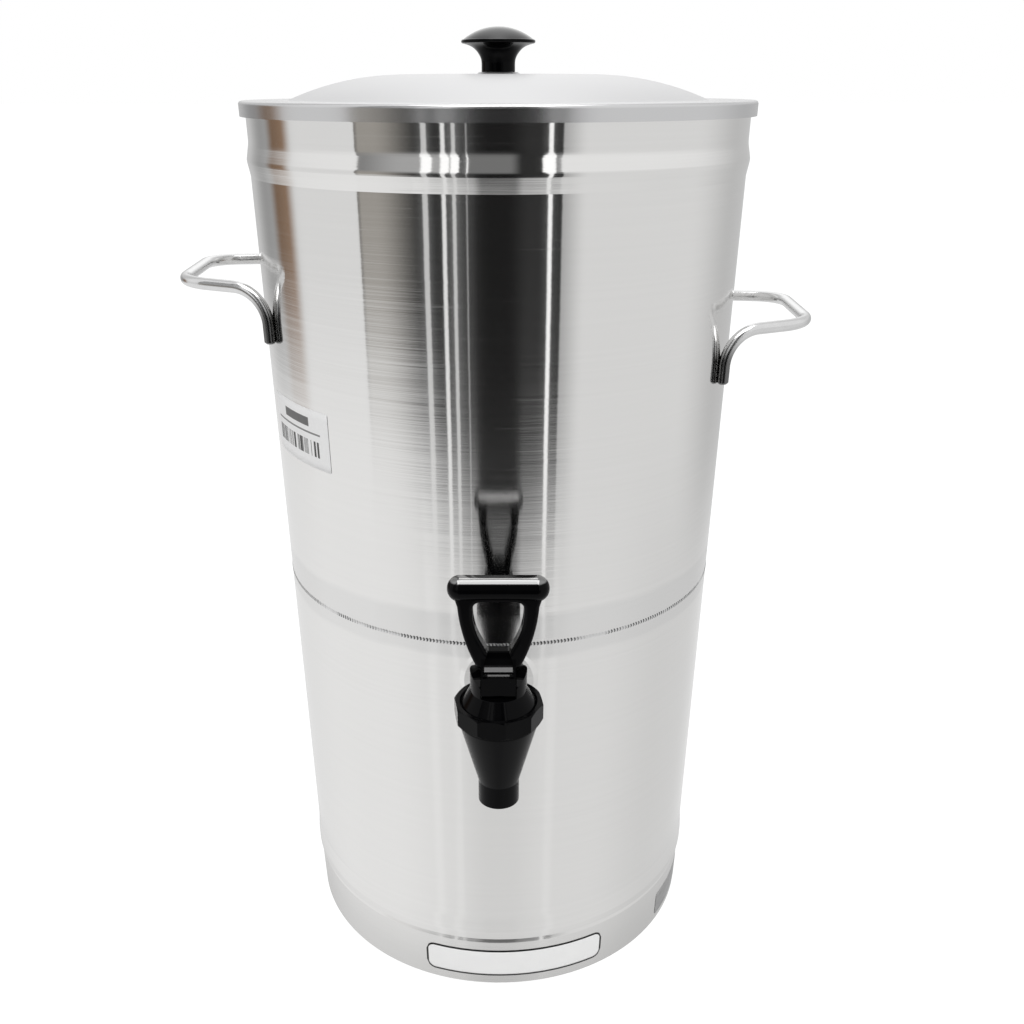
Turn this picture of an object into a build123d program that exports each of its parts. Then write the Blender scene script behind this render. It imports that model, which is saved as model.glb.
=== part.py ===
from build123d import *
import math
import os

# A gravity drink urn: a tall stainless vessel on a plain skirt, with a lift-off lid, two wire
# handles and a spring-closed tap.  Millimetres.  +Z is up, the tap faces -Y, and the origin is
# on the vessel's axis in the plane of the foot.

# ---------------------------------------------------------------- vessel and skirt
body_r = 119.0  # outside of the vessel wall and of the skirt
sheet_t = 0.8  # stainless sheet
lap_gap = 0.2  # play between two sheets, one inside the other
rim_z = 459.4  # foot to the rim: the height of the whole body
seam_z = 229.6  # weld between the vessel and its skirt
neck_h = 15.6  # rim to the stacking bead
neck_in = 0.4  # the neck, between the bead and the rim, inside the wall
bead_h = 14.2  # height of the bead, down to its sharp lower crease
bead_crest_h = 7.0  # lower crease up to the crest
bead_out = 1.2  # the bead's crest beyond the wall
bead_bends = (0.3, 5.0, 12.0)  # at the crease, at the crest and where the neck begins
hem_out = 0.9  # the hem folded round the rim, beyond the wall
hem_depth = 5.0

floor_depth = 44.4  # from the seam down to the underside of the vessel's floor
floor_corner_r = 10.0

skirt_bottom_z = 37.5
skirt_flare = 0.8  # the skirt's lower edge opens over the foot ring
skirt_flare_h = 15.0
skirt_flare_bends = (12.0, 20.0)  # soft bends at the ends of the flare, lower and upper

# ---------------------------------------------------------------- foot ring
foot_in = 0.1  # the ring's upper edge, just inside the face of the skirt
foot_taper = 0.6  # the ring's lower edge, further in
foot_tuck = 22.0  # how far the ring reaches up inside the skirt
foot_joggle_h = 4.0
foot_flange_w = 9.3  # width of the flange that it stands on
foot_bend_r = 2.4

# ---------------------------------------------------------------- wire handles
wire_r = 2.8
handle_azimuth = 88.0  # from the front, to each side
left_handle_drop = 76.5  # rim down to the loop, left handle
right_handle_drop = 96.0  # and right handle, which is fitted lower
handle_leg = 24.8  # length of a leg below the loop
handle_foot_w = 98.0  # between the legs
handle_bar_w = 69.0  # width of the loop at its outer bar
handle_reach = 34.5  # outer bar beyond the wall
handle_rise = 1.7  # outer bar above the bends
handle_bend_r = 17.0
handle_corner_r = 20.0
weld_sink = 0.4  # how far a leg is melted onto the wall

# ---------------------------------------------------------------- lid
lid_t = 1.0
lid_play = 0.4  # between the lid's band and the rim
lid_seat_gap = 0.5  # under the flange, above the rim
lid_band_h = 6.3
lid_rise = 10.5  # crown above the flange
lid_crown_r = 45.0  # flat middle
lid_lip_h = 0.4  # edge of the dome above the flange
lid_lip_w = 1.2
lid_flange_w = 22.2  # flat flange round the dome
lid_bends = (1.5, 1.5)  # at the foot of the dome and where the band turns down
lid_boss_r = 9.2  # raised seat under the knob
lid_boss_h = 1.0
lid_travel = 90.0

# ---------------------------------------------------------------- knob and its screw
knob_r = 17.3
knob_h = 18.5
knob_rim_z = 12.5  # middle of the thin rim above the knob's base
knob_rim_t = 1.6
knob_waist_r = 7.9
knob_crown_r = 27.5
screw_r = 2.4
screw_play = 0.1
screw_grip = 11.0  # length inside the knob
screw_head_r = 4.6
screw_head_h = 2.8
knob_washer_r = 8.0
knob_washer_t = 1.0

# ---------------------------------------------------------------- tap: place and body
tap_reach = 48.0  # tap axis in front of the wall
shank_drop = 19.7  # weld down to the tap's shank, which goes through the wall
spout_drop = 34.5  # shank down to the bottom of the spout
nozzle_r = 9.4
nozzle_h = 11.2
bore_r = 6.3  # spout bore
cone_top_r = 17.8
cone_rise = 9.7  # shank up to the top of the cone
cone_lip_h = 1.4  # straight edge at the top of the cone
thread_r = 16.2  # threaded neck inside the bonnet
thread_h = 6.8
seat_drop = 10.9  # shank down to the valve seat
seat_w = 1.5  # width of the seat lip
seat_h = 1.0
chamber_r = 13.2
chamber_low_r = 9.4
chamber_cone_h = 16.0
barrel_r = 9.6
collar_r = 13.5
collar_t = 3.0
shank_r = 7.9
shank_in = 17.0  # shank inside the vessel, past its wall
shank_bore_r = 5.5

# ---------------------------------------------------------------- wall boss and shank fittings
boss_r = 18.4  # round pad pressed out of the wall
boss_h = 0.8
boss_slope = 1.4  # width of the pad's sloped edge
hole_play = 0.4
seal_r = 13.2
seal_t = 2.0
washer_r = 14.0
washer_t = 1.2
nut_flats = 23.0
nut_t = 7.0
shank_play = 0.1

# ---------------------------------------------------------------- tap: bonnet
bonnet_wall = 3.8  # from the thread out to the corners of the ten flats
bonnet_sides = 10
bonnet_corner_azimuth = 9.0
bonnet_h = 8.7
bonnet_gap = 0.3  # over the body's shoulder and thread
bonnet_edge = 0.9
cup_flange_t = 1.0
bonnet_rim_w = 2.8  # top face, from the corners in to the shoulder
bonnet_rim_drop = 0.6
neck_tap_r = 12.5
shoulder_gap = 0.2  # slot's floor above the top of the bonnet's shoulder
guide_h = 3.4  # length of the stem's guide, from the spring's pocket up to the slot
slot_w = 15.6
ear_h = 9.4
spring_pocket_r = 8.0
spring_pocket_h = 4.1
guide_play = 0.1

# ---------------------------------------------------------------- tap: stem, cup and spring
stem_r = 3.4
stem_tongue_t = 5.0
stem_head_r = 3.6
stem_collar_r = 7.4
stem_collar_h = 1.2
stem_bulb_r = 4.4
stem_bulb_h = 3.0
stem_waist_r = 2.8
cup_r = 8.4
cup_t = 1.1
cup_plug_h = 6.0
cup_play = 0.1
spring_r = 5.9  # middle of the wire
spring_wire_r = 0.5
spring_turns = 5.5

# ---------------------------------------------------------------- tap: handle and cam
pin_h = 5.8  # pin above the floor of the slot
pin_r = 1.5
pin_play = 0.05
foot_w = 14.8
foot_clear = 0.3  # cam above the floor of the slot
cam_k = 6.0  # lift for each radian of tilt, in mm
tilt_max = 32.0  # degrees
foot_back = 6.5
foot_shoulder_h = 4.2  # front edge of the foot above the pin
foot_slope_h = 11.0  # where the foot's slope meets the plate
plate_front = 4.5
plate_back = 4.0
bar_up = 42.4  # axis of the round bar above the pin
bar_r = 5.6
bar_half_w = 21.4
leg_top_w = 18.2  # where a leg leaves the bar: out from the axis
leg_top_drop = 3.8  # and down from the bar's axis
leg_outer = ((17.2, 0.83), (14.9, 0.50), (9.6, 0.16))  # outside of a leg: out, and share of bar_up
leg_root_h = 5.4  # where the legs narrow to the foot, above the bonnet's ears
opening_drop = 5.0  # from the bar's axis down to the top of the finger opening
opening_side = ((10.7, 0.82), (9.6, 0.46), (6.7, 0.17))  # its side: out, and share of its height
crotch_h = 13.3  # bottom of the opening above the pin
opening_low_w = 4.8
opening_top_r = 3.0
opening_low_r = 1.5
scoop_r = 8.4  # hollow in front, from the foot's front edge up to the opening
scoop_half_w = 6.5
scoop_wide_h = 8.5  # the hollow narrows above this height
plate_edge_r = 1.6

# ---------------------------------------------------------------- places that follow from the sizes
crease_z = rim_z - neck_h - bead_h
left_bend_z = rim_z - left_handle_drop
right_bend_z = rim_z - right_handle_drop
tap_y = -(body_r + tap_reach)
shank_z = seam_z - shank_drop
spout_z = shank_z - spout_drop
cone_top_z = shank_z + cone_rise
thread_top_z = cone_top_z + thread_h
seat_z = shank_z - seat_drop
lid_top_z = rim_z + lid_seat_gap + lid_t  # top of the lid's flange
lid_band_r = body_r + hem_out + lid_play + lid_t
lid_dome_r = lid_band_r - lid_flange_w - lid_lip_w
crown_z = lid_top_z + lid_rise
boss_top_z = crown_z + lid_boss_h
boss_face_y = -(body_r + boss_h)
inner_face_y = boss_face_y + 2 * sheet_t + lap_gap  # inside face of the doubled wall at the tap
bonnet_z = cone_top_z + bonnet_gap
bonnet_top_z = bonnet_z + bonnet_h
web_z = thread_top_z + cup_flange_t  # underside of the bonnet's web
slot_floor_z = web_z + spring_pocket_h + guide_h
pin_z = slot_floor_z + pin_h
bonnet_r = thread_r + bonnet_wall
bonnet_rim_r = bonnet_r - bonnet_rim_w
leg_line = [(out, share * bar_up) for out, share in leg_outer]
opening_h = bar_up - opening_drop - crotch_h
opening_line = [(out, crotch_h + share * opening_h) for out, share in opening_side]
cup_top_z = seat_z + cup_plug_h
collar_top_z = cup_top_z + cup_play + stem_collar_h


def turned(face):
    """Turn a face drawn in (radius, height) about the vertical axis."""
    return revolve(Plane.XZ * face, Axis.Z)


def disc(r, z0, z1, bore=0.0):
    """A flat ring or disc about the vertical axis, from z0 up to z1."""
    solid = Pos(0, 0, z0) * Cylinder(r, z1 - z0, align=(Align.CENTER, Align.CENTER, Align.MIN))
    if bore:
        solid -= Pos(0, 0, z0 - 1) * Cylinder(bore, z1 - z0 + 2, align=(Align.CENTER, Align.CENTER, Align.MIN))
    return solid


def rod_y(r, y0, y1):
    """A round bar along Y at the height of the shank."""
    bar = Cylinder(r, y1 - y0, align=(Align.CENTER, Align.CENTER, Align.MIN))
    return Pos(0, y0, shank_z) * Rot(-90, 0, 0) * bar


def sheet_ring(points, radii, t=sheet_t):
    """Sheet metal turned about Z. The line is its outside, listed upwards; the sheet lies inside it."""
    line = FilletPolyline(*points, radius=radii)
    return turned(make_face(offset(line, amount=t, side=Side.LEFT)))


def boss_plug(inset):
    """Solid of the round pad for the tap, its faces set in by the given amount."""
    depth = 8.0
    face_r = boss_r - boss_slope - 0.4 * inset
    cone = Cone(face_r + depth, face_r, depth, align=(Align.CENTER, Align.CENTER, Align.MAX))
    return Pos(0, boss_face_y + inset, shank_z) * Rot(90, 0, 0) * cone


def pad_in_wall(wall, r, inset, t=sheet_t):
    """Press the tap's pad out of a wall of the given outside radius, and pierce it for the shank."""
    outer, inner = boss_plug(inset), boss_plug(inset + t)
    inside = disc(r - t, shank_z - 2 * boss_r, shank_z + 2 * boss_r)
    wall = (wall - inner) + (outer - inner - inside)
    return wall - rod_y(shank_r + hole_play, -2 * body_r, 0)


# ================================================================ vessel
def vessel_wall():
    """Upper cylinder with its stacking bead, narrow neck and hemmed rim."""
    bead_r = body_r + bead_out
    neck_r = body_r - neck_in
    wall = sheet_ring(
        [
            (body_r, seam_z + sheet_t / 2),
            (body_r, crease_z),
            (bead_r, crease_z + bead_crest_h),
            (neck_r, crease_z + bead_h),
            (neck_r, rim_z - hem_depth / 2),
        ],
        bead_bends,
    )
    hem_w = hem_out + neck_in + sheet_t
    fold = Pos(body_r + hem_out - hem_w / 2, rim_z - hem_depth / 2) * Rectangle(hem_w, hem_depth)
    fold = fillet(fold.vertices().group_by(Axis.Y)[-1], 0.45 * hem_w)
    return wall + turned(fold)


def vessel_floor():
    """Deep pan that closes the vessel: its wall lies inside the skirt and its lip is in the seam."""
    pan_r = body_r - sheet_t - lap_gap
    low = seam_z - floor_depth
    pan = sheet_ring([(0, low), (pan_r, low), (pan_r, seam_z - sheet_t / 2)], [floor_corner_r])
    pan += disc(body_r, seam_z - sheet_t / 2, seam_z + sheet_t / 2, bore=pan_r - sheet_t)
    return pad_in_wall(pan, pan_r, sheet_t + lap_gap)


def lower_skirt():
    """Plain cylinder under the vessel, opened slightly over the foot ring."""
    edge_r = body_r + skirt_flare
    skirt = sheet_ring(
        [
            (edge_r, skirt_bottom_z),
            (edge_r, skirt_bottom_z + 0.3 * skirt_flare_h),
            (body_r, skirt_bottom_z + skirt_flare_h),
            (body_r, seam_z - sheet_t / 2),
        ],
        skirt_flare_bends,
    )
    return pad_in_wall(skirt, body_r, 0)


def base_ring():
    """Foot ring: tucked into the skirt, joggled out below it, with a turned-in flange to stand on."""
    tuck_r = body_r - sheet_t - lap_gap
    foot_r = body_r - foot_in
    shoulder_z = skirt_bottom_z + lap_gap
    return sheet_ring(
        [
            (foot_r - foot_taper - foot_flange_w, 0),
            (foot_r - foot_taper, 0),
            (foot_r, shoulder_z - foot_joggle_h),
            (tuck_r, shoulder_z),
            (tuck_r, skirt_bottom_z + foot_tuck),
        ],
        [foot_bend_r, 2.0, 2.0],
    )


def wire_handle(side, bend_z):
    """Bent wire loop. Its two legs turn down and are welded flat against the wall."""
    azimuth = math.radians(handle_azimuth)
    out = Vector(side * math.sin(azimuth), -math.cos(azimuth), 0)
    across = Vector(-out.Y, out.X, 0)
    leg_r = body_r + wire_r - weld_sink
    root = math.sqrt(leg_r**2 - (handle_foot_w / 2) ** 2)
    tip = body_r + handle_reach

    def corner(along, over, z):
        return out * along + across * over + Vector(0, 0, z)

    half, bar = handle_foot_w / 2, handle_bar_w / 2
    path = FilletPolyline(
        corner(root, -half, bend_z - handle_leg),
        corner(root, -half, bend_z),
        corner(tip, -bar, bend_z + handle_rise),
        corner(tip, bar, bend_z + handle_rise),
        corner(root, half, bend_z),
        corner(root, half, bend_z - handle_leg),
        radius=[handle_bend_r, handle_corner_r, handle_corner_r, handle_bend_r],
    )
    section = Plane(origin=path @ 0, z_dir=path % 0) * Circle(wire_r)
    loop = sweep(section, path=path)
    ends = loop.edges().group_by(Axis.Z)[0]
    loop = chamfer(ends, 0.3 * wire_r)
    return loop - disc(body_r, bend_z - 2 * handle_leg, bend_z + handle_leg)


# ================================================================ lid
def lid_shell():
    """Spun lid: flat crown, dome, flange and a band that turns down over the rim."""
    dome_w = lid_dome_r - lid_crown_r
    dome_h = lid_rise - lid_lip_h
    crown = Line((0, crown_z), (lid_crown_r, crown_z))
    dome = RadiusArc(crown @ 1, (lid_dome_r, crown_z - dome_h), (dome_w**2 + dome_h**2) / (2 * dome_h))
    rim = FilletPolyline(
        dome @ 1,
        (lid_dome_r + lid_lip_w, lid_top_z),
        (lid_band_r, lid_top_z),
        (lid_band_r, lid_top_z - lid_band_h),
        radius=lid_bends,
    )
    line = Wire([crown.edge(), dome.edge()] + list(rim.edges()))
    shell = turned(make_face(offset(line, amount=lid_t, side=Side.RIGHT)))
    seat = Pos(0, 0, crown_z - lid_t) * Cone(
        lid_boss_r + 2.4, lid_boss_r, lid_t + lid_boss_h, align=(Align.CENTER, Align.CENTER, Align.MIN)
    )
    return shell + seat - disc(screw_r + screw_play, crown_z - 5, boss_top_z + 5)


def lid_knob():
    """Mushroom knob: shallow crown, thin rim and a waist that flares into the rim."""
    rim_top = knob_rim_z + knob_rim_t / 2
    rim_low = knob_rim_z - knob_rim_t / 2
    crown = RadiusArc((0, knob_h), (knob_r - 0.9, rim_top), knob_crown_r)
    edge = ThreePointArc((knob_r - 0.9, rim_top), (knob_r, knob_rim_z), (knob_r - 0.9, rim_low))
    waist = Spline(
        (knob_r - 0.9, rim_low),
        (0.68 * knob_r, 0.80 * knob_rim_z),
        (0.49 * knob_r, 0.50 * knob_rim_z),
        (knob_waist_r, 0),
        tangents=((-1.0, -0.25), (0, -1)),
    )
    close = Polyline((knob_waist_r, 0), (0, 0), (0, knob_h))
    knob = turned(make_face([crown.edge(), edge.edge(), waist.edge()] + list(close.edges())))
    knob -= disc(screw_r + screw_play, -1, screw_grip + 1)
    return Pos(0, 0, boss_top_z) * knob


def knob_washer():
    """Plain washer against the underside of the lid."""
    top = crown_z - lid_t
    return disc(knob_washer_r, top - knob_washer_t, top, bore=screw_r + screw_play)


def knob_screw():
    """Pan-head screw, from under the lid up into the knob."""
    head_top = crown_z - lid_t - knob_washer_t
    head = disc(screw_head_r, head_top - screw_head_h, head_top)
    head = fillet(head.edges().group_by(Axis.Z)[0], 0.35 * screw_head_h)
    return head + disc(screw_r, head_top - 0.5, boss_top_z + screw_grip)


# ================================================================ tap: the fixed parts
def tap_body():
    """Moulded valve body: spout and cone, valve chamber, barrel and threaded shank."""
    nozzle_top = spout_z + nozzle_h
    outer = Polyline(
        (0, spout_z),
        (nozzle_r, spout_z),
        (nozzle_r, nozzle_top),
        (cone_top_r, cone_top_z - cone_lip_h),
        (cone_top_r, cone_top_z),
        (thread_r, cone_top_z),
        (thread_r, thread_top_z),
        (0, thread_top_z),
        close=True,
    )
    body = Pos(0, tap_y, 0) * turned(make_face(outer))
    collar_y = boss_face_y - seal_t
    body += rod_y(barrel_r, tap_y, collar_y)
    body += rod_y(collar_r, collar_y - collar_t, collar_y)
    body += rod_y(shank_r, collar_y - 0.5, inner_face_y + shank_in)
    inner = Polyline(
        (0, seat_z - seat_h),
        (bore_r, seat_z - seat_h),
        (bore_r, seat_z),
        (bore_r + seat_w, seat_z),
        (bore_r + seat_w, seat_z - seat_h),
        (chamber_low_r, seat_z - seat_h),
        (chamber_r, seat_z - seat_h + chamber_cone_h),
        (chamber_r, thread_top_z + 1),
        (0, thread_top_z + 1),
        close=True,
    )
    body -= Pos(0, tap_y, 0) * turned(make_face(inner))
    body -= Pos(0, tap_y, 0) * disc(bore_r, spout_z - 1, seat_z)
    return body - rod_y(shank_bore_r, tap_y, inner_face_y + shank_in + 1)


def shank_seal(y0, y1):
    """Soft ring round the shank, between two faces."""
    return rod_y(seal_r, y0, y1) - rod_y(shank_r + shank_play, y0 - 1, y1 + 1)


def shank_washer():
    """Steel washer between the inner seal and the nut."""
    y0 = inner_face_y + seal_t
    ring = rod_y(washer_r, y0, y0 + washer_t)
    return ring - rod_y(shank_r + shank_play, y0 - 1, y0 + washer_t + 1)


def shank_nut():
    """Hexagon nut that pulls the tap against the wall from inside."""
    y0 = inner_face_y + seal_t + washer_t
    hexagon = extrude(RegularPolygon(nut_flats / 2, 6, major_radius=False), nut_t)
    nut = Pos(0, y0, shank_z) * Rot(-90, 0, 0) * hexagon
    nut = chamfer(nut.edges().filter_by(Axis.Y, reverse=True).group_by(Axis.Y)[-1], 0.8)
    return nut - rod_y(shank_r + shank_play, y0 - 1, y0 + nut_t + 1)


def tap_bonnet():
    """Ten-sided ring nut with a sloped shoulder and a neck, slotted to hold the handle's foot."""
    blank = Polyline(
        (0, bonnet_z),
        (bonnet_r - bonnet_edge, bonnet_z),
        (bonnet_r, bonnet_z + bonnet_edge),
        (bonnet_r, bonnet_top_z - bonnet_edge),
        (bonnet_r - bonnet_edge, bonnet_top_z),
        (bonnet_rim_r, bonnet_top_z),
        (bonnet_rim_r - bonnet_rim_drop, bonnet_top_z - bonnet_rim_drop),
        (neck_tap_r, slot_floor_z - shoulder_gap),
        (neck_tap_r, slot_floor_z + ear_h),
        (0, slot_floor_z + ear_h),
        close=True,
    )
    flats = RegularPolygon(bonnet_r, bonnet_sides, rotation=bonnet_corner_azimuth - 90)
    prism = Pos(0, 0, bonnet_z) * extrude(flats, slot_floor_z + ear_h - bonnet_z)
    bonnet = turned(make_face(blank)) & prism
    inner = Polyline(
        (0, bonnet_z - 1),
        (thread_r + bonnet_gap, bonnet_z - 1),
        (thread_r + bonnet_gap, web_z),
        (spring_pocket_r, web_z),
        (spring_pocket_r, web_z + spring_pocket_h),
        (stem_r + guide_play, web_z + spring_pocket_h),
        (stem_r + guide_play, slot_floor_z + ear_h + 1),
        (0, slot_floor_z + ear_h + 1),
        close=True,
    )
    bonnet -= turned(make_face(inner))
    slot = Box(slot_w, 4 * neck_tap_r, 2 * ear_h, align=(Align.CENTER, Align.CENTER, Align.MIN))
    bonnet -= Pos(0, 0, slot_floor_z) * slot
    # the ears' tops are round, seen from the side
    round_r = neck_tap_r + 0.5
    ear_tops = Box(4 * neck_tap_r, 4 * neck_tap_r, ear_h, align=(Align.CENTER, Align.CENTER, Align.MIN))
    ear_tops = Pos(0, 0, slot_floor_z + 1) * ear_tops
    ear_tops -= Pos(0, 0, slot_floor_z + ear_h - round_r) * Rot(0, 90, 0) * Cylinder(round_r, 4 * neck_tap_r)
    return Pos(0, tap_y, 0) * (bonnet - ear_tops)


# ================================================================ tap: the moving parts
def valve_stem():
    """Stem: bulb in the cup, spring collar, round rod and a flat tongue for the pin."""
    low = seat_z + cup_play + 1.9
    bulb_top = low + stem_bulb_h
    collar_z = cup_top_z + cup_play
    rod = Polyline(
        (0, low),
        (stem_bulb_r, low),
        (stem_bulb_r, bulb_top),
        (stem_waist_r, bulb_top),
        (stem_waist_r, collar_z),
        (stem_collar_r, collar_z),
        (stem_collar_r, collar_top_z),
        (stem_r, collar_top_z),
        (stem_r, pin_z),
        (0, pin_z),
        close=True,
    )
    stem = turned(make_face(rod)) + Pos(0, 0, pin_z) * Rot(0, 90, 0) * Cylinder(stem_head_r, stem_tongue_t)
    tongue_z = web_z + spring_pocket_h
    cheek = Box(stem_r, 4 * stem_r, 3 * pin_h, align=(Align.MIN, Align.CENTER, Align.MIN))
    for turn in (0, 180):
        stem -= Rot(0, 0, turn) * Pos(stem_tongue_t / 2, 0, tongue_z) * cheek
    stem -= Pos(0, 0, pin_z) * Rot(0, 90, 0) * Cylinder(pin_r + pin_play, 4 * stem_r)
    return Pos(0, tap_y, 0) * stem


def seat_cup():
    """Silicone cup: a plug on the seat, a thin bell round the spring, a flange held by the bonnet."""
    flange_r = thread_r - bonnet_gap
    bell_r = chamber_r - 0.8
    mid_z = seat_z - seat_h + chamber_cone_h
    low = seat_z + cup_play + 1.9
    outline = Polyline(
        (0, seat_z),
        (cup_r, seat_z),
        (cup_r + 0.6, cup_top_z - 2),
        (bell_r, mid_z + 2),
        (bell_r, thread_top_z),
        (flange_r, thread_top_z),
        (flange_r, web_z),
        (bell_r - cup_t, web_z),
        (bell_r - cup_t, mid_z + 2),
        (cup_r - 0.5, cup_top_z),
        (stem_waist_r + cup_play, cup_top_z),
        (stem_waist_r + cup_play, low + stem_bulb_h + cup_play),
        (stem_bulb_r + cup_play, low + stem_bulb_h + cup_play),
        (stem_bulb_r + cup_play, low - cup_play),
        (0, low - cup_play),
        close=True,
    )
    return Pos(0, tap_y, 0) * turned(make_face(outline))


def stem_spring():
    """Compression spring between the stem's collar and the roof of the bonnet's pocket."""
    low = collar_top_z + spring_wire_r
    high = web_z + spring_pocket_h - spring_wire_r
    helix = Helix(pitch=(high - low) / spring_turns, height=high - low, radius=spring_r)
    section = Plane(origin=helix @ 0, z_dir=helix % 0) * Circle(spring_wire_r)
    return Pos(0, tap_y, low) * sweep(section, path=helix, is_frenet=True)


def cam_point(tilt):
    """Point of the cam (forward, up from the pin) that is lowest when the handle is tilted."""
    reach = pin_h - foot_clear + cam_k * tilt
    return (
        cam_k * math.cos(tilt) + reach * math.sin(tilt),
        cam_k * math.sin(tilt) - reach * math.cos(tilt),
    )


def handle_foot():
    """Foot of the handle: a cam below, which lifts the pin evenly as the handle tilts forward."""
    full = math.radians(tilt_max)
    cam = [cam_point(full * step / 4) for step in range(5)]
    nose = cam[-1]
    back, low = -foot_back, -(pin_h - foot_clear)
    curve = Spline(*cam, tangents=((1, 0), (math.cos(full), math.sin(full))))
    rest = Polyline(
        nose,
        (nose[0], foot_shoulder_h),
        (plate_front, foot_slope_h),
        (-plate_back, foot_slope_h),
        (back, foot_shoulder_h),
        (back, low + 2.0),
        (back + 2.0, low),
        cam[0],
    )
    side = make_face([curve.edge()] + list(rest.edges()))
    # drawn in (forward, up); forward is -Y
    plane = Plane(origin=(foot_w / 2, tap_y, pin_z), x_dir=(0, -1, 0), z_dir=(-1, 0, 0))
    return extrude(plane * side, foot_w)


def handle_plate():
    """Flat part of the handle: two legs round the finger opening."""
    low = foot_shoulder_h / 2 - 0.6
    leg = ThreePointArc(*leg_line)
    rest = Polyline(
        leg_line[-1],
        (foot_w / 2, leg_root_h),
        (foot_w / 2, low),
        (0, low),
        (0, bar_up),
        (leg_top_w, bar_up),
        (leg_top_w, bar_up - leg_top_drop),
        leg_line[0],
    )
    half = make_face([leg.edge()] + list(rest.edges()))
    outline = half + mirror(half, Plane.YZ)
    side = ThreePointArc(*opening_line)
    rest = Polyline(
        opening_line[-1],
        (opening_low_w, crotch_h),
        (0, crotch_h),
        (0, crotch_h + opening_h),
        (opening_line[0][0], crotch_h + opening_h),
        opening_line[0],
    )
    half = make_face([side.edge()] + list(rest.edges()))
    opening = half + mirror(half, Plane.YZ)
    opening = fillet(opening.vertices().group_by(Axis.Y)[-1], opening_top_r)
    opening = fillet(opening.vertices().group_by(Axis.Y)[0], opening_low_r)
    front = Plane(origin=(0, tap_y + plate_back, pin_z), x_dir=(1, 0, 0), z_dir=(0, -1, 0))
    plate = extrude(front * (outline - opening), plate_front + plate_back)
    rims = plate.edges().filter_by(Axis.Y, reverse=True)
    return fillet(rims.group_by(Axis.Y)[0] + rims.group_by(Axis.Y)[-1], plate_edge_r)


def handle_bar():
    """Round bar with round ends across the top of the legs."""
    bar = Cylinder(bar_r, 2 * bar_half_w)
    bar = fillet(bar.edges(), 0.96 * bar_r)
    return Pos(0, tap_y, pin_z + bar_up) * Rot(0, 90, 0) * bar


def handle_scoop():
    """The room that is hollowed out between the legs, in front of the web."""
    nose = cam_point(math.radians(tilt_max))[0]
    back = nose - scoop_r
    high = foot_shoulder_h + scoop_r
    floor = RadiusArc((nose, foot_shoulder_h), (back, high), scoop_r)
    ahead = nose + scoop_r
    top = opening_line[-1][1]
    rest = Polyline(
        (back, high),
        (back, top),
        (ahead, top),
        (ahead, foot_shoulder_h),
        (nose, foot_shoulder_h),
    )
    side = make_face([floor.edge()] + list(rest.edges()))
    # drawn in (forward, up); forward is -Y
    plane = Plane(origin=(scoop_half_w, tap_y, pin_z), x_dir=(0, -1, 0), z_dir=(-1, 0, 0))
    room = extrude(plane * side, 2 * scoop_half_w)
    half = make_face(
        Polyline(
            (0, 0),
            (scoop_half_w, 0),
            (scoop_half_w, scoop_wide_h),
            (opening_low_w, crotch_h),
            (opening_low_w, top),
            (0, top),
            close=True,
        )
    )
    front = Plane(origin=(0, tap_y + plate_back, pin_z), x_dir=(1, 0, 0), z_dir=(0, -1, 0))
    return room & extrude(front * (half + mirror(half, Plane.YZ)), plate_back + ahead)


def tap_handle():
    """Moulded handle: legs, bar and foot, slot for the stem's tongue and hole for the pin."""
    handle = handle_plate() + handle_bar() + handle_foot() - handle_scoop()
    # the tongue swings forward in the foot as the handle tilts
    full = math.radians(tilt_max)
    low = pin_h + 1
    reach = stem_head_r + 0.3
    slot = make_face(
        Polyline(
            (-reach, reach + 0.2),
            (reach, reach + 0.2),
            (reach, reach * math.tan(full / 2)),
            (low * math.tan(full) + reach / math.cos(full), -low),
            (-reach, -low),
            close=True,
        )
    )
    slot_w_foot = stem_tongue_t + 0.6
    plane = Plane(origin=(slot_w_foot / 2, tap_y, pin_z), x_dir=(0, -1, 0), z_dir=(-1, 0, 0))
    handle -= extrude(plane * slot, slot_w_foot)
    return handle - Pos(0, tap_y, pin_z) * Rot(0, 90, 0) * Cylinder(pin_r + pin_play, 2 * foot_w)


def handle_pin():
    """Pin through the foot and the stem's tongue."""
    return Pos(0, tap_y, pin_z) * Rot(0, 90, 0) * Cylinder(pin_r, foot_w - 0.4)


# ================================================================ write every piece
pieces = {
    "vessel_wall": vessel_wall(),
    "vessel_floor": vessel_floor(),
    "lower_skirt": lower_skirt(),
    "base_ring": base_ring(),
    "handle_left": wire_handle(-1, left_bend_z),
    "handle_right": wire_handle(1, right_bend_z),
    "lid_shell": lid_shell(),
    "lid_knob": lid_knob(),
    "knob_washer": knob_washer(),
    "knob_screw": knob_screw(),
    "tap_body": tap_body(),
    "shank_seal_outer": shank_seal(boss_face_y - seal_t, boss_face_y),
    "shank_seal_inner": shank_seal(inner_face_y, inner_face_y + seal_t),
    "shank_washer": shank_washer(),
    "shank_nut": shank_nut(),
    "tap_bonnet": tap_bonnet(),
    "valve_stem": valve_stem(),
    "seat_cup": seat_cup(),
    "stem_spring": stem_spring(),
    "tap_handle": tap_handle(),
    "handle_pin": handle_pin(),
}

os.makedirs("parts", exist_ok=True)
for name, solid in pieces.items():
    export_step(solid, os.path.join("parts", name + ".step"))
print(f"lid lifts {lid_travel:.0f} mm; stem lifts {cam_k * math.radians(tilt_max):.2f} mm; pin at z {pin_z:.2f}")
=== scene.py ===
import math

import bpy
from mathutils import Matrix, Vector
from mathutils.bvhtree import BVHTree


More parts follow.
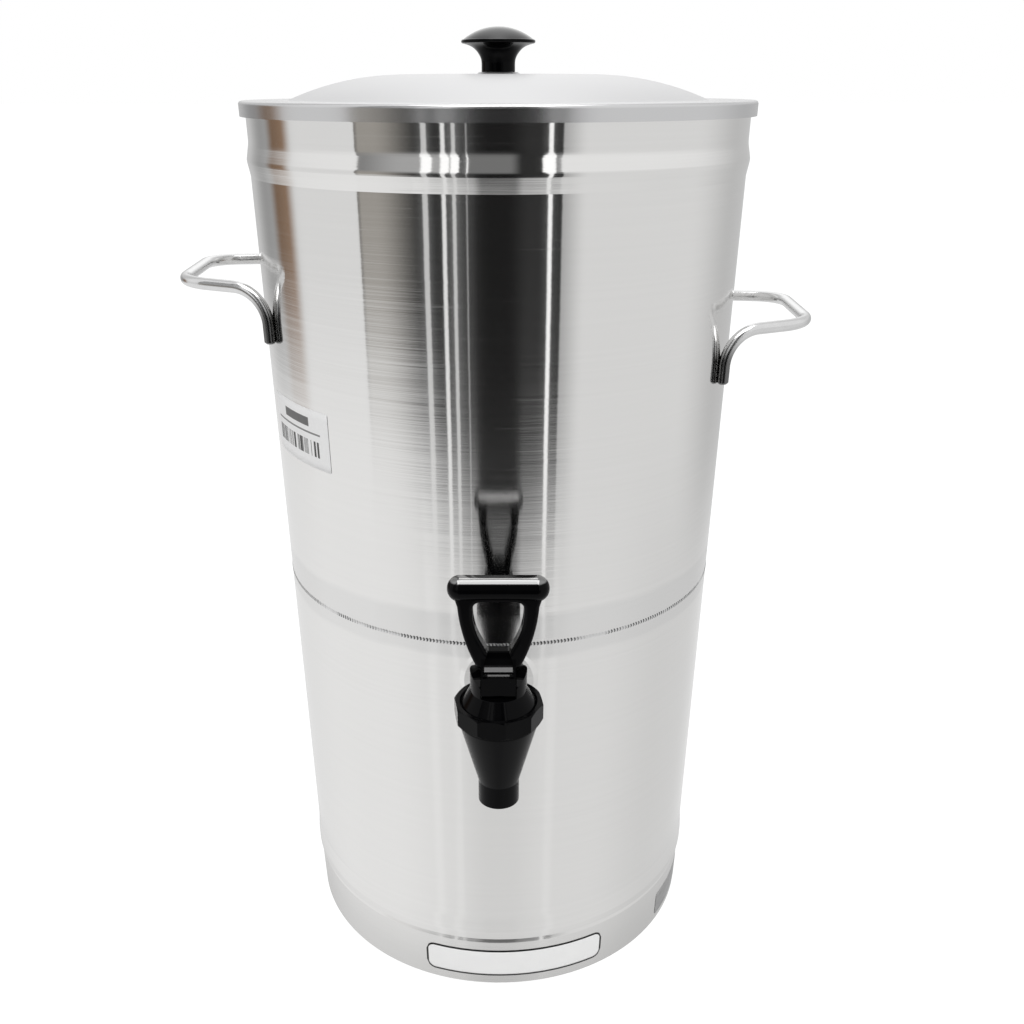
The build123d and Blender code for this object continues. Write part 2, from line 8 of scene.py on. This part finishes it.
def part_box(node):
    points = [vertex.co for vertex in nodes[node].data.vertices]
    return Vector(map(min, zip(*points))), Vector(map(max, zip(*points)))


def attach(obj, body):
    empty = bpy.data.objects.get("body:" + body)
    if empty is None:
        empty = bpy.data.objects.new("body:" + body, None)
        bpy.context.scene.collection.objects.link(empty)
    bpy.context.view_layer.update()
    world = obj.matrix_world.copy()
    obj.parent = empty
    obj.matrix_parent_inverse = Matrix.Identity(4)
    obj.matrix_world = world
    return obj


# The looks of a stainless drink urn, in metres: +Z is up, the tap faces -Y, and the origin is on the
# vessel's axis in the plane of the foot.

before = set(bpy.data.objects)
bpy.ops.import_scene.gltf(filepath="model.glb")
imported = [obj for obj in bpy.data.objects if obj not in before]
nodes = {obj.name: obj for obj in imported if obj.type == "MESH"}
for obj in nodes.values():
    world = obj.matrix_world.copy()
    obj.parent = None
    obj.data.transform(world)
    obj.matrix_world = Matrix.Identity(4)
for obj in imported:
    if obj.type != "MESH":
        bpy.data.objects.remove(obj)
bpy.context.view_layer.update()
MM = 0.001

# ---------------------------------------------------------------- places on the urn
foot_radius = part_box("base_ring")[1].x
skirt_low, skirt_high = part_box("lower_skirt")
wall_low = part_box("vessel_wall")[0]
lid_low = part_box("lid_shell")[0]
tap_handle_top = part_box("tap_handle")[1].z
weld_z = (skirt_high.z + wall_low.z) / 2


# ================================================================ nodes as expressions
class Wire:
    """An output of a node. Arithmetic with it adds Math nodes to the same finish."""

    def __init__(self, finish, socket):
        self.finish = finish
        self.socket = socket

    def math(self, operation, *others):
        return self.finish.add("Math", {"operation": operation}, dict(enumerate((self, *others))))

    def __add__(self, other):
        return self.math("ADD", other)

    def __radd__(self, other):
        return self.math("ADD", other)

    def __mul__(self, other):
        return self.math("MULTIPLY", other)

    def __rmul__(self, other):
        return self.math("MULTIPLY", other)

    def __sub__(self, other):
        return self.math("SUBTRACT", other)

    def __rsub__(self, other):
        return self.math("MULTIPLY_ADD", -1.0, other)

    def __abs__(self):
        return self.math("ABSOLUTE")


class Finish:
    """A node tree that is being filled: a material's or the world's."""

    def __init__(self, owner):
        owner.use_nodes = True
        self.owner = owner
        self.tree = owner.node_tree
        self.tree.nodes.clear()

    def add(self, kind, settings=(), sockets=(), output=0):
        """Add a node, set it up, then give its sockets values or links. Returns one of its outputs."""
        node = self.tree.nodes.new("ShaderNode" + kind)
        for name, value in dict(settings).items():
            setattr(node, name, value)
        for key, value in dict(sockets).items():
            if isinstance(value, Wire):
                self.tree.links.new(value.socket, node.inputs[key])
            else:
                node.inputs[key].default_value = value
        return Wire(self, node.outputs[output]) if len(node.outputs) else node

    def split(self, vector):
        return [self.add("SeparateXYZ", (), {0: vector}, axis) for axis in range(3)]

    def blend(self, mask, low, high):
        """Mix two colours by a mask."""
        return self.add("Mix", {"data_type": "RGBA"}, {0: mask, 6: low, 7: high}, 2)

    def step(self, value, start, end):
        """Smooth step from 0 at start to 1 at end."""
        settings = {"interpolation_type": "SMOOTHSTEP"}
        return self.add("MapRange", settings, {0: value, 1: start, 2: end})

    def noise(self, place, scale, detail=2.0, rough=0.5):
        """Noise whose cells are as long as the three scales say."""
        place = self.add("VectorMath", {"operation": "MULTIPLY"}, {0: place, 1: scale})
        return self.add("TexNoise", (), {0: place, "Scale": 1.0, "Detail": detail, "Roughness": rough})

    def bump(self, height, distance, strength):
        return self.add("Bump", (), {"Height": height, "Distance": distance, "Strength": strength})

    def vector(self, operation, *others):
        return self.add("VectorMath", {"operation": operation}, dict(enumerate(others)))

    def leaned(self, up, around):
        """The surface's normal, leaned upwards and round the body by small amounts."""
        normal = self.add("NewGeometry", output="Normal")
        sideways = self.vector("CROSS_PRODUCT", (0.0, 0.0, 1.0), normal)
        sideways = self.add("VectorMath", {"operation": "SCALE"}, {0: sideways, "Scale": around})
        upwards = self.add("CombineXYZ", (), {2: up})
        leaning = self.vector("ADD", self.vector("ADD", normal, sideways), upwards)
        return self.vector("NORMALIZE", leaning)

    def band(self, value, start, end, soft):
        """1 between start and end, 0 outside, with soft edges."""
        return self.step(value, start - soft, start + soft) * (1 - self.step(value, end - soft, end + soft))

    def patch(self, value, middle, half, soft):
        """1 within half of the middle, fading to 0 over the soft width beyond."""
        return 1 - self.step(abs(value - middle), half, half + soft)

    def surface(self, **sockets):
        """Join a Principled shader to the output. Underscores in the names stand for spaces."""
        named = {key.replace("_", " "): value for key, value in sockets.items()}
        shader = self.add("BsdfPrincipled", (), named)
        self.add("OutputMaterial", (), {0: shader})
        return self.owner


def grey(tone):
    """A colour from one number or three."""
    return (*tone, 1.0) if isinstance(tone, tuple) else (tone, tone, tone, 1.0)


def finish(name):
    return Finish(bpy.data.materials.new(name))


# ================================================================ finishes
def rolled_steel(name, tone, rough, ground_band=False):
    """Bright stainless sheet. Its grain runs round the body, so it smears what it mirrors upright.

    The ground band is the duller strip that is left where the weld was dressed.
    """
    f = finish(name)
    place = f.add("TexCoord", output=3)
    grain = f.noise(place, (9.0, 9.0, 5200.0), 2.0, 0.5)
    streak = f.noise(place, (5.0, 5.0, 700.0), 3.0, 0.6)
    wobble = f.noise(place, (45.0, 45.0, 1700.0), 2.0, 0.6)
    buckle = f.noise(place, (16.0, 16.0, 16.0), 1.0)
    scratch = f.step(f.noise(place, (22.0, 22.0, 1500.0), 0.0), 0.76, 0.80)
    height = f.split(place)[2]
    roughness = rough + (streak - 0.5) * 0.02 + scratch * 0.03
    upright = (grain - 0.5) * 0.14
    around = (wobble - 0.5) * 0.006 + (buckle - 0.5) * 0.006
    colour = f.blend(streak, grey(tuple(t * 0.96 for t in tone)), grey(tone))
    if ground_band:
        wander = (f.noise(place, (30.0, 30.0, 5.0), 2.0) - 0.5) * 0.004
        band = f.band(height + wander - weld_z, -8.0 * MM, 15.5 * MM, 2.0 * MM)
        roughness = roughness + band * 0.05
        colour = f.blend(band * 0.35, colour, grey(0.66))
    return f.surface(
        Base_Color=colour,
        Metallic=1.0,
        Roughness=roughness,
        Anisotropic=1.0,
        Anisotropic_Rotation=0.25,
        Normal=f.leaned(upright, around),
    )


def spun_lid_steel():
    """Matt stainless, polished in rings about the lid's centre."""
    f = finish("spun_lid_steel")
    place = f.add("TexCoord", output=3)
    x, y, z = f.split(place)
    radius = (x * x + y * y).math("SQRT")
    rings = f.add(
        "TexNoise", {"noise_dimensions": "1D"}, {"W": radius, "Scale": 1400.0, "Detail": 3.0}
    )
    cloud = f.noise(place, (16.0, 16.0, 16.0), 3.0)
    band = 1 - f.step(z, lid_low.z + 4.5 * MM, lid_low.z + 6.2 * MM)
    flange = f.step(radius, 99 * MM, 103 * MM)
    rough = 0.42 + (rings - 0.5) * 0.16 + (cloud - 0.5) * 0.06 - flange * 0.14 - band * 0.06
    tone = f.blend(rings, grey((0.62, 0.62, 0.625)), grey((0.70, 0.70, 0.705)))
    return f.surface(
        Base_Color=tone,
        Metallic=1.0,
        Roughness=rough,
        Normal=f.bump(rings, 0.00002, 0.3),
    )


def polished_wire(name, weld_end):
    """Drawn wire, electropolished. The lowest part of its legs is painted near black: a painted reflection
    of the dim room in front.
    """
    f = finish(name)
    place = f.add("TexCoord", output=3)
    pits = f.noise(place, (260.0, 260.0, 260.0), 3.0, 0.6)
    # Painted reflection: the base colour goes near black up to 10-24 mm above the legs' lower ends,
    # standing for the dark room they mirror.
    painted_dark_reflection = 1 - f.step(f.split(place)[2], weld_end + 10 * MM, weld_end + 24 * MM)
    return f.surface(
        Base_Color=f.blend(painted_dark_reflection * 0.85, f.blend(pits, grey(0.66), grey(0.76)), grey(0.06)),
        Metallic=1.0,
        Roughness=0.14 + pits * 0.08,
        Normal=f.bump(pits, 0.00001, 0.1),
    )


def black_moulding(name, rough=0.09, buffed=0.0):
    """Glossy black plastic with the faint waviness of a moulded face.

    Faces that look up are buffed: fully on the bar of the tap handle and above, and a quarter below it.
    """
    f = finish(name)
    place = f.add("TexCoord", output=3)
    waves = f.noise(place, (120.0, 120.0, 120.0), 2.0)
    specks = f.noise(place, (2200.0, 2200.0, 2200.0), 2.0)
    upward = f.split(f.add("NewGeometry", output="Normal"))[2]
    on_bar = f.step(f.split(place)[2], tap_handle_top - 18 * MM, tap_handle_top - 14 * MM) * 0.75 + 0.25
    return f.surface(
        Base_Color=f.blend(waves, grey((0.0008, 0.0008, 0.0010)), grey((0.002, 0.002, 0.0024))),
        Roughness=rough + (waves - 0.5) * 0.06 + (specks - 0.5) * 0.04,
        Specular_IOR_Level=0.07,
        Coat_Weight=f.step(upward, 0.60, 0.72) * on_bar * buffed,
        Coat_Roughness=0.06,
        Coat_IOR=3.0,
        Normal=f.bump(waves * 0.8 + specks * 0.2, 0.00004, 0.2),
    )


def plain_steel(name, tone, scale):
    """Turned or drawn stainless of the small fittings."""
    f = finish(name)
    place = f.add("TexCoord", output=3)
    lines = f.noise(place, scale, 3.0, 0.6)
    return f.surface(
        Base_Color=f.blend(lines, grey(tone * 0.8), grey(tone)),
        Metallic=1.0,
        Roughness=0.22 + lines * 0.2,
        Normal=f.bump(lines, 0.00003, 0.3),
    )


def milky_silicone():
    f = finish("milky_silicone")
    place = f.add("TexCoord", output=3)
    cloud = f.noise(place, (300.0, 300.0, 300.0), 3.0)
    return f.surface(
        Base_Color=f.blend(cloud, grey((0.68, 0.68, 0.66)), grey((0.80, 0.80, 0.78))),
        Roughness=0.45 + cloud * 0.15,
        Subsurface_Weight=0.2,
        Subsurface_Radius=(0.002, 0.002, 0.002),
        Normal=f.bump(cloud, 0.00005, 0.3),
    )


def weld_steel():
    """Bare weld: bright ripples with darker hollows between them."""
    f = finish("weld_steel")
    place = f.add("TexCoord", output=3)
    patch = f.noise(place, (55.0, 55.0, 55.0), 2.0)
    hollow = f.add("TexCoord", output=2)
    ripple = f.split(hollow)[0].math("COSINE") * 0.5 + 0.5
    dark = f.step(ripple, 0.35, 0.8) * f.step(patch, 0.34, 0.50)
    return f.surface(
        Base_Color=f.blend(dark, grey(0.70), grey(0.10)),
        Metallic=1.0,
        Roughness=0.28 + patch * 0.2,
    )


def rounded_box(f, across, up, half_w, half_h, corner):
    """Distance from the edge of a rounded rectangle, negative inside."""
    side = (abs(across) - (half_w - corner)).math("MAXIMUM", 0.0)
    top = (abs(up) - (half_h - corner)).math("MAXIMUM", 0.0)
    return (side * side + top * top).math("SQRT") - corner


def printed_plate(half_w, half_h, corner):
    """White vinyl with a black line round it."""
    f = finish("white_vinyl_with_black_line")
    across, up, _ = f.split(f.add("TexCoord", output=2))
    edge = rounded_box(f, across, up, half_w, half_h, corner)
    line = f.step(edge, -1.35 * MM, -1.15 * MM)
    wear = f.noise(f.add("TexCoord", output=3), (90.0, 90.0, 90.0), 4.0)
    paper = f.blend(wear, grey((0.93, 0.93, 0.925)), grey((0.98, 0.98, 0.975)))
    return f.surface(
        Base_Color=f.blend(line, paper, grey(0.008)),
        Roughness=0.30 + wear * 0.12 - line * 0.08,
        Specular_IOR_Level=0.4,
    )


def barred_paper(half_w):
    """White paper sticker: a row of plain bars, a thin rule over it and a grey block at the top."""
    f = finish("white_paper_with_bars")
    across, up, _ = f.split(f.add("TexCoord", output=2))
    bars_per_metre, bars_low, bars_high, bars_offset = 1900.0, -8.5 * MM, -0.8 * MM, 1.0 * MM
    rule_up, rule_half = 2.8 * MM, 0.4 * MM
    block_up, block_half_w, block_half_h = 7.8 * MM, 12.5 * MM, 2.1 * MM
    soft = 0.1 * MM
    inside = 1 - f.step(abs(across + bars_offset), 0.80 * half_w, 0.81 * half_w)
    stripe = f.add(
        "TexWhiteNoise", {"noise_dimensions": "1D"}, {"W": (across * bars_per_metre).math("FLOOR")}
    )
    bars = f.step(stripe, 0.50, 0.52) * inside
    bars = bars * f.step(up, bars_low, bars_low + soft) * (1 - f.step(up, bars_high, bars_high + soft))
    rule = 1 - f.step(abs(up - rule_up), rule_half, rule_half + soft)
    block = 1 - f.step(abs(up - block_up), block_half_h, block_half_h + soft)
    block = block * (1 - f.step(abs(across), block_half_w, block_half_w + soft))
    ink = (bars + rule * inside * 0.8).math("MAXIMUM", block * 0.9)
    fibre = f.noise(f.add("TexCoord", output=3), (700.0, 700.0, 700.0), 3.0)
    paper = f.blend(fibre, grey((0.80, 0.80, 0.80)), grey((0.87, 0.87, 0.87)))
    return f.surface(
        Base_Color=f.blend(ink, paper, grey(0.045)),
        Roughness=0.42 + fibre * 0.15,
    )


def brushed_foil():
    """Bare metal foil plate."""
    f = finish("brushed_foil")
    place = f.add("TexCoord", output=3)
    crinkle = f.noise(place, (60.0, 60.0, 160.0), 3.0, 0.6)
    return f.surface(
        Base_Color=f.blend(crinkle, grey(0.20), grey(0.62)),
        Metallic=0.9,
        Roughness=0.2 + crinkle * 0.3,
        Normal=f.bump(crinkle, 0.0003, 0.5),
    )


# ================================================================ mesh pieces
def mesh_piece(name, points, faces, uv, material):
    """A smooth piece that rides on the urn. Its UVs are flat measures in metres, or a ripple's phase."""
    mesh = bpy.data.meshes.new(name)
    mesh.from_pydata(points, [], faces)
    layer = mesh.uv_layers.new(name="flat")
    for loop in mesh.loops:
        layer.data[loop.index].uv = uv[loop.vertex_index]
    for face in mesh.polygons:
        face.use_smooth = True
    mesh.materials.append(material)
    piece = bpy.data.objects.new(name, mesh)
    bpy.context.scene.collection.objects.link(piece)
    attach(piece, "urn")


def skin(node):
    """Finds points on the outside of a CAD node."""
    mesh = nodes[node].data
    return BVHTree.FromPolygons([v.co for v in mesh.vertices], [tuple(p.vertices) for p in mesh.polygons])


def outside(tree, azimuth, z):
    """Radius of the outside of the urn at an azimuth from the front, and a height."""
    away = Vector((math.sin(azimuth), -math.cos(azimuth), 0.0))
    clear_of_urn = 300 * MM
    hit = tree.ray_cast(away * clear_of_urn + Vector((0, 0, z)), -away)[0]
    return math.hypot(hit.x, hit.y)


def on_urn(radius, azimuth, z):
    """The point at a radius, an azimuth from the front, and a height."""
    return (radius * math.sin(azimuth), -radius * math.cos(azimuth), z)


def grid_faces(columns, rows, closed=False):
    """Quads of a grid whose points are listed column by column."""
    last = columns if closed else columns - 1
    return [
        (i * rows + j, (i + 1) % columns * rows + j, (i + 1) % columns * rows + j + 1, i * rows + j + 1)
        for i in range(last)
        for j in range(rows - 1)
    ]


def wrapped_plate(name, node, azimuth, z, width, height, corner, material):
    """A thin plate with round corners, bent round the urn, seated on the node behind it."""
    tree = skin(node)
    columns, rows, lift = 72, 9, 0.15 * MM
    points, uv = [], []
    middle_r = outside(tree, azimuth, z)
    for i in range(columns + 1):
        across = width * (i / columns - 0.5)
        past = max(abs(across) - (width / 2 - corner), 0.0)
        half = height / 2 - corner + math.sqrt(max(corner**2 - past**2, 0.0))
        for j in range(-1, rows + 1):
            up = half * (2 * min(max(j, 0), rows - 1) / (rows - 1) - 1)
            angle = azimuth + across / middle_r
            proud = lift if 0 <= j < rows else -lift
            points.append(on_urn(outside(tree, angle, z + up) + proud, angle, z + up))
            uv.append((across, up))
    mesh_piece(name, points, grid_faces(columns + 1, rows + 2), uv, material)


def weld_bead(name, tree, z, material):
    """Rippled weld round the urn between the vessel and the skirt."""
    pitch, half_h, proud, sunk = 1.7 * MM, 1.2 * MM, 0.22 * MM, 0.03 * MM
    clear_of_tap, above_weld = 0.5, 4 * MM
    radius = outside(tree, clear_of_tap, z + above_weld)
    ripples = round(math.tau * radius / pitch)
    per_ripple, rows = 6, 7
    points, uv = [], []
    for i in range(ripples * per_ripple):
        angle = math.tau * i / (ripples * per_ripple)
        phase = math.tau * i / per_ripple
        swell = 0.65 + 0.35 * math.cos(phase)
        for j in range(rows):
            t = 2 * j / (rows - 1) - 1
            lean = 0.25 * pitch * (1 - t * t) / radius
            up = half_h * t * (0.85 + 0.15 * math.cos(phase))
            out = proud * swell * (1 - t * t) - sunk
            points.append(on_urn(radius + out, angle + lean, z + up))
            uv.append((phase + 0.6 * t, t))
    faces = grid_faces(ripples * per_ripple, rows, closed=True)
    mesh_piece(name, points, faces, uv, material)


def back_seam(name, node, low, high, material):
    """Fine planished seam down the back, where the rolled sheet is joined."""
    tree = skin(node)
    pitch, half_w, proud, swing, lean, sunk = 2.2 * MM, 1.1 * MM, 0.09, 0.03, 0.3 * MM, 0.02 * MM
    steps, columns = round((high - low) / (0.5 * MM)), 5
    points, uv = [], []
    for i in range(steps + 1):
        z = low + (high - low) * i / steps
        phase = math.tau * (z - low) / pitch
        radius = outside(tree, math.pi, z)
        for j in range(columns):
            t = 2 * j / (columns - 1) - 1
            out = (proud + swing * math.cos(phase)) * MM * (1 - t * t) - sunk
            points.append(on_urn(radius + out, math.pi + half_w * t / radius, z + lean * (1 - t * t)))
            uv.append((phase, t))
    mesh_piece(name, points, grid_faces(steps + 1, columns), uv, material)


# ================================================================ dress the CAD nodes
sheet_tone = (0.80, 0.795, 0.785)
body_steel = rolled_steel("rolled_steel_body", sheet_tone, 0.085, ground_band=True)
foot_steel = rolled_steel("rolled_steel_foot", sheet_tone, 0.16)
tap_black = black_moulding("black_moulding_tap")
silicone = milky_silicone()
fitting_steel = plain_steel("fitting_steel", 0.60, (500.0, 500.0, 60.0))

dress = {
    "vessel_wall": body_steel,
    "vessel_floor": foot_steel,
    "lower_skirt": body_steel,
    "base_ring": foot_steel,
    "handle_left": polished_wire("polished_wire_left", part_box("handle_left")[0].z),
    "handle_right": polished_wire("polished_wire_right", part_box("handle_right")[0].z),
    "lid_shell": spun_lid_steel(),
    "lid_knob": black_moulding("black_moulding_knob", 0.12, buffed=0.35),
    "knob_washer": fitting_steel,
    "knob_screw": fitting_steel,
    "tap_body": tap_black,
    "tap_bonnet": tap_black,
    "tap_handle": black_moulding("black_moulding_handle", buffed=1.0),
    "valve_stem": tap_black,
    "handle_pin": fitting_steel,
    "seat_cup": silicone,
    "stem_spring": plain_steel("spring_steel", 0.50, (90.0, 90.0, 900.0)),
    "shank_seal_outer": silicone,
    "shank_seal_inner": silicone,
    "shank_washer": fitting_steel,
    "shank_nut": fitting_steel,
}
for name, material in dress.items():
    mesh = nodes[name].data
    mesh.materials.clear()
    mesh.materials.append(material)

# ================================================================ pieces that only the scene holds
weld_bead("seam_weld", skin("vessel_wall"), weld_z, weld_steel())
planished_weld = plain_steel("planished_weld", 0.74, (400.0, 400.0, 400.0))
neck_above_weld = 198 * MM
back_seam("wall_back_seam", "vessel_wall", wall_low.z + 3 * MM, weld_z + neck_above_weld, planished_weld)
back_seam("skirt_back_seam", "lower_skirt", skirt_low.z + 1 * MM, skirt_high.z - 3 * MM, planished_weld)

# Azimuths are from the front, towards +X. Heights are of the labels' middles.
label_w, label_h, label_corner = 107 * MM, 20.2 * MM, 5.5 * MM
vinyl = printed_plate(label_w / 2, label_h / 2, label_corner)
wrapped_plate(
    "front_label", "base_ring", math.radians(4.7), 17.5 * MM, label_w, label_h, label_corner, vinyl
)
sticker_w, sticker_h, sticker_corner = 56 * MM, 28.5 * MM, 0.6 * MM
sticker_paper = barred_paper(sticker_w / 2)
wrapped_plate(
    "side_sticker",
    "vessel_wall",
    math.radians(-55.0),
    319.5 * MM,
    sticker_w,
    sticker_h,
    sticker_corner,
    sticker_paper,
)
foil_w, foil_h, foil_corner = 44 * MM, 17 * MM, 1.5 * MM
wrapped_plate(
    "foil_label", "base_ring", math.radians(66.0), 14.7 * MM, foil_w, foil_h, foil_corner, brushed_foil()
)


# ================================================================ stage, light and camera
def stage_floor():
    """White floor. Metal mirrors the studio's own floor tones through it, with a painted shadow of the urn
    close to the foot.
    """
    below_foot = 0.4 * MM
    bpy.ops.mesh.primitive_plane_add(size=60.0, location=(0, 0, -below_foot))
    floor = bpy.context.object
    floor.name = "floor"
    f = finish("white_floor")
    ray = {name: f.add("LightPath", output=name) for name in ("Is Camera Ray", "Is Glossy Ray")}
    x, y, _ = f.split(f.add("NewGeometry", output="Position"))
    radius = (x * x + y * y).math("SQRT")
    # Painted shadow: close to the foot, mirrored rays see a dark emission in place of the urn's shadow on
    # the floor.
    painted_foot_shadow = (1 - f.step(radius, foot_radius - 4 * MM, foot_radius + 50 * MM)) * 0.22
    white = f.add("Emission", (), {"Color": grey(1.0), "Strength": 1.2})
    lit = f.add("BsdfDiffuse", (), {"Color": grey(0.84)})
    gone = f.add("BsdfTransparent")
    dark = f.add("Emission", (), {"Color": grey(0.10), "Strength": 1.0})
    seen = f.add("MixShader", (), {0: 0.22, 1: white, 2: lit})
    mirrored = f.add("MixShader", (), {0: painted_foot_shadow, 1: gone, 2: dark})
    other = f.add("MixShader", (), {0: ray["Is Glossy Ray"], 1: lit, 2: mirrored})
    shader = f.add("MixShader", (), {0: ray["Is Camera Ray"], 1: other, 2: seen})
    f.add("OutputMaterial", (), {0: shader})
    floor.data.materials.append(f.owner)


# Tall lamps in the dim room, by their angle from the front in degrees, towards -X negative: angle, half
# width, how much wider each is higher up, its tone, and the tone of the haze round it.
tall_lamps = [
    (-31.93, 1.2, 1.3, 0.66, 0.07), (-23.6, 0.9, 1.1, 0.94, 0.0), (-19.05, 0.8, 1.1, 0.68, 0.10),
    (-13.5, 0.25, 0.1, 0.45, 0.03), (22.66, 0.95, 2.0, 1.15, 0.035),
]


def side_walls(f, heading, above):
    """White side walls and a grey back, with a brown door at the left and a window high at the back.

    All headings are in degrees from the front.
    """
    brown_door = (0.35, 0.23, 0.155)
    behind = f.step(abs(heading), 95, 135)
    by_room = (1 - f.step(heading, 26, 40)) * f.step(heading, 0, 1)
    level = (0.82 - behind * 0.24) * (1 - by_room * 0.45)
    window = f.step(abs(heading), 145, 178)
    high = 0.95 - behind * 0.17 + window * 0.50
    by_door = f.patch(heading, -126, 5, 22)
    level = f.blend(f.patch(heading, -114.5, 3.5, 9), level, grey(brown_door))
    level = f.blend(by_door * 0.4, level, grey(0.0))
    high = f.blend(by_door * 0.15, high, grey(0.0))
    return f.blend(above, level, high)


def dim_room(f, heading, above):
    """A dark room with a warm lit corner at the left. Higher up hang a pale curtain and a grey screen."""
    lit_corner = (0.37, 0.35, 0.32)
    dark = 0.032 - f.patch(heading, 0, 3, 12) * 0.022
    corner = 1 - f.step(heading, -56, -33)
    corner_edge = f.patch(heading, -64.4, 0.4, 1.6) * 0.5
    level = f.blend(corner * (1 - corner_edge), dark, grey(lit_corner))
    curtain = (1 - f.step(heading, -18.4, -18.0)) * (f.step(heading, -70, -42) * 0.24 + 0.18)
    screen = f.patch(heading, -4, 9, 6) * 0.17
    right_edge = f.step(heading, 21, 29) * 0.40
    return f.blend(above, level, curtain + screen + right_edge + 0.03)


def pale_ground(f, heading):
    """Tone of the floor: lighter at the left, duller at the right, with pools of light from three lamps."""
    tone = 0.84 + f.patch(heading, -83, 15, 60) * 0.11 - f.patch(heading, 115, 12, 50) * 0.09
    tone = tone - f.patch(heading, 0, 6, 22) * 0.05
    for pool in (-36.5, -24.0, 28.7):
        tone = tone + f.patch(heading, pool, 1.2, 2.5) * 0.045
    return tone


def studio_world():
    """White all round. In mirrored rays the front is a dim room with tall lamps and a pale ground."""
    room_left, room_right = -64.4, 28.0
    above_from, above_to = 0.04, 0.28
    ground_full, ground_gone = -0.50, -0.29
    glare = 1.3
    world = bpy.data.worlds.new("studio")
    bpy.context.scene.world = world
    f = Finish(world)
    x, y, z = f.split(f.add("TexCoord", output="Generated"))
    heading = x.math("ARCTAN2", y * -1.0) * math.degrees(1)
    above = f.step(z, above_from, above_to)
    in_room = f.band(heading, room_left, room_right, 0.3)
    room = dim_room(f, heading, above)
    for angle, _, _, _, haze in tall_lamps:
        room = f.vector("ADD", room, f.patch(heading, angle, 0.5, 4.5) * (1 - above) * haze)
    studio = f.blend(in_room, side_walls(f, heading, above), room)
    for angle, half, wider, tone, _ in tall_lamps:
        glow = 1 - f.step(abs(heading - angle) - (above * wider + half), -0.2, 0.2)
        studio = f.blend(glow, studio, f.blend(above, grey(tone), grey(max(tone, glare))))
    # The ground reaches further up at the left, and less far in the middle.
    rise = (1 - f.step(heading, -60, -5)) * 0.17 + f.step(heading, 11, 28) * 0.03
    rise = rise - f.patch(heading, 0, 7, 5) * 0.06
    low = 1 - f.step(z - rise, ground_full, ground_gone)
    mirrored = f.blend(low, studio, pale_ground(f, heading))
    ray = {name: f.add("LightPath", output=name) for name in ("Is Camera Ray", "Is Glossy Ray")}
    colour = f.blend(ray["Is Glossy Ray"], grey(0.80), mirrored)
    colour = f.blend(ray["Is Camera Ray"], colour, grey(1.0))
    background = f.add("Background", (), {"Color": colour, "Strength": 1.0})
    f.add("OutputWorld", (), {0: background})


def soft_box():
    """One broad lamp overhead, in front of the urn. It points straight down."""
    lamp = bpy.data.lights.new("soft_box", "AREA")
    lamp.shape = "RECTANGLE"
    lamp.size = 1.0
    lamp.size_y = 1.1
    lamp.energy = 8.5
    holder = bpy.data.objects.new("soft_box", lamp)
    holder.location = (0.0, -0.45, 1.75)
    bpy.context.scene.collection.objects.link(holder)


def camera():
    """Above the rim in front of the urn, looking down, with the shift that frames the whole urn."""
    lens = bpy.data.cameras.new("view")
    lens.sensor_width = 36.0
    lens.lens = 35.72
    lens.shift_x = 0.01056
    lens.shift_y = 0.11903
    lens.clip_start = 0.01
    looking_down, lean, turn = math.radians(28.41), 0.0008, 0.0001
    holder = bpy.data.objects.new("view", lens)
    holder.location = (0.00139, -0.54746, 0.46737)
    holder.rotation_euler = (math.radians(90) - looking_down, lean, turn)
    bpy.context.scene.collection.objects.link(holder)
    bpy.context.scene.camera = holder


stage_floor()
studio_world()
soft_box()
camera()
bpy.context.scene.view_settings.view_transform = "Standard"
